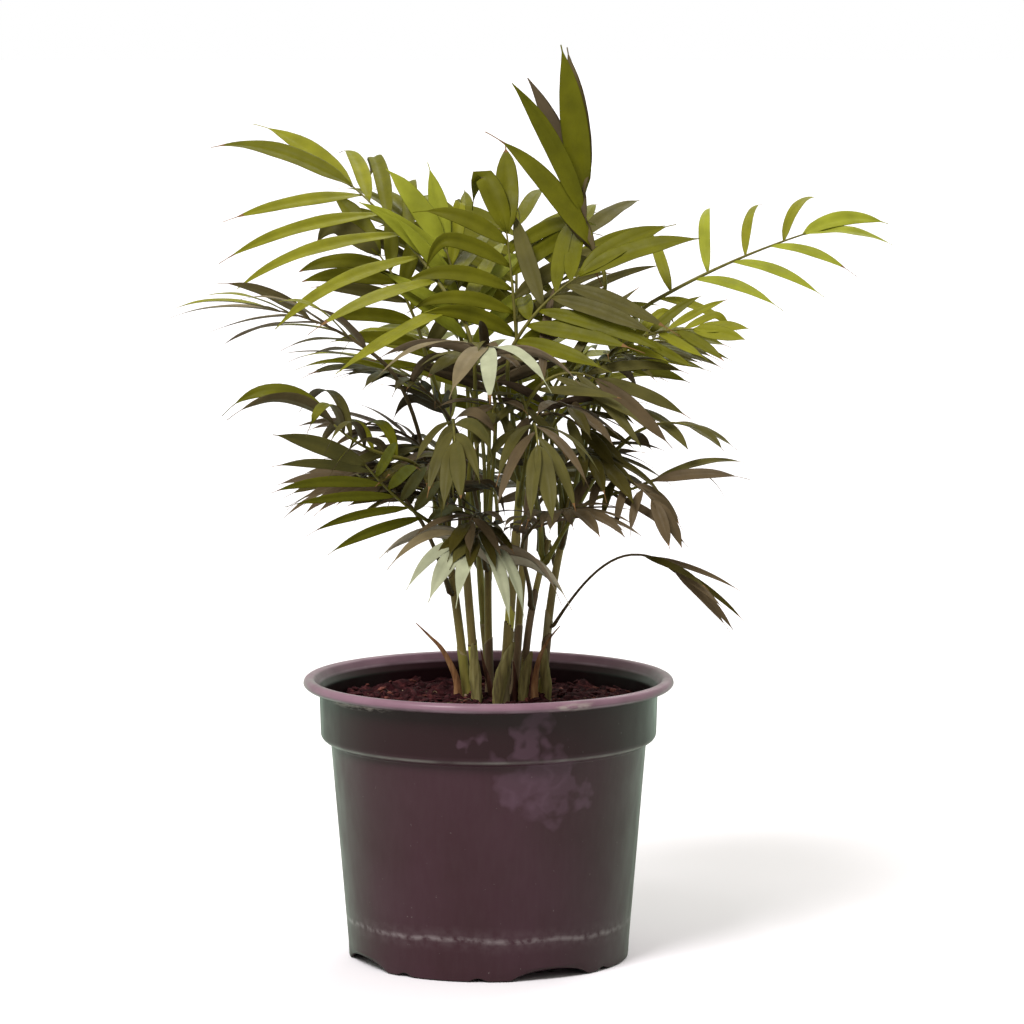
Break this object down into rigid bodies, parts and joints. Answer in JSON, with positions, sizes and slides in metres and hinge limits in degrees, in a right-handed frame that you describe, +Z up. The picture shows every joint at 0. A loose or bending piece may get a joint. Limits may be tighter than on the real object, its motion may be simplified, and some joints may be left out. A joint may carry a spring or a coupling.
{
  "type": "parlour palm",
  "caption": "Small parlour palm in a plain tapered nursery pot: slender canes rise from the soil and carry feathered fronds with pointed leaflets.",
  "frame": {"origin": "centre of the pot's flat underside, where the pot's axis meets the ground", "axes": "+Z up along the pot's axis, -Y towards the viewer of the picture, +X to the picture's right"},
  "size_m": [0.2525, 0.2025, 0.3185],
  "materials": {
    "pot_plastic": "dark brown-purple moulded plastic, satin, with faint scuffs",
    "potting_soil": "dark moist peaty mix with bark bits",
    "cane": "green, satin",
    "dry_sheath": "dry orange-brown husk",
    "frond": "olive green leaf, satin"
  },
  "bodies": {
    "root": {"pot": "pot_plastic", "soil": "potting_soil", "cane_01": "cane", "cane_02": "cane", "cane_03": "cane", "cane_04": "cane", "cane_05": "cane", "cane_06": "cane", "cane_07": "cane", "cane_08": "cane", "dry_sheath_01": "dry_sheath", "dry_sheath_02": "dry_sheath", "frond_01": "frond", "frond_02": "frond", "frond_03": "frond", "frond_04": "frond", "frond_05": "frond", "frond_06": "frond", "frond_07": "frond", "frond_08": "frond", "frond_09": "frond", "frond_10": "frond", "frond_11": "frond", "frond_12": "frond", "frond_13": "frond", "frond_14": "frond", "frond_15": "frond", "frond_16": "frond", "frond_17": "frond", "frond_18": "frond", "frond_19": "frond", "frond_20": "frond", "frond_21": "frond", "frond_22": "frond", "frond_23": "frond", "frond_24": "frond", "frond_25": "frond", "frond_26": "frond", "frond_27": "frond", "frond_28": "frond", "frond_29": "frond", "frond_30": "frond", "frond_31": "frond", "frond_32": "frond", "frond_33": "frond", "frond_34": "frond", "frond_35": "frond", "frond_36": "frond", "frond_37": "frond", "frond_38": "frond", "frond_39": "frond", "frond_40": "frond"}
  },
  "joints": []
}
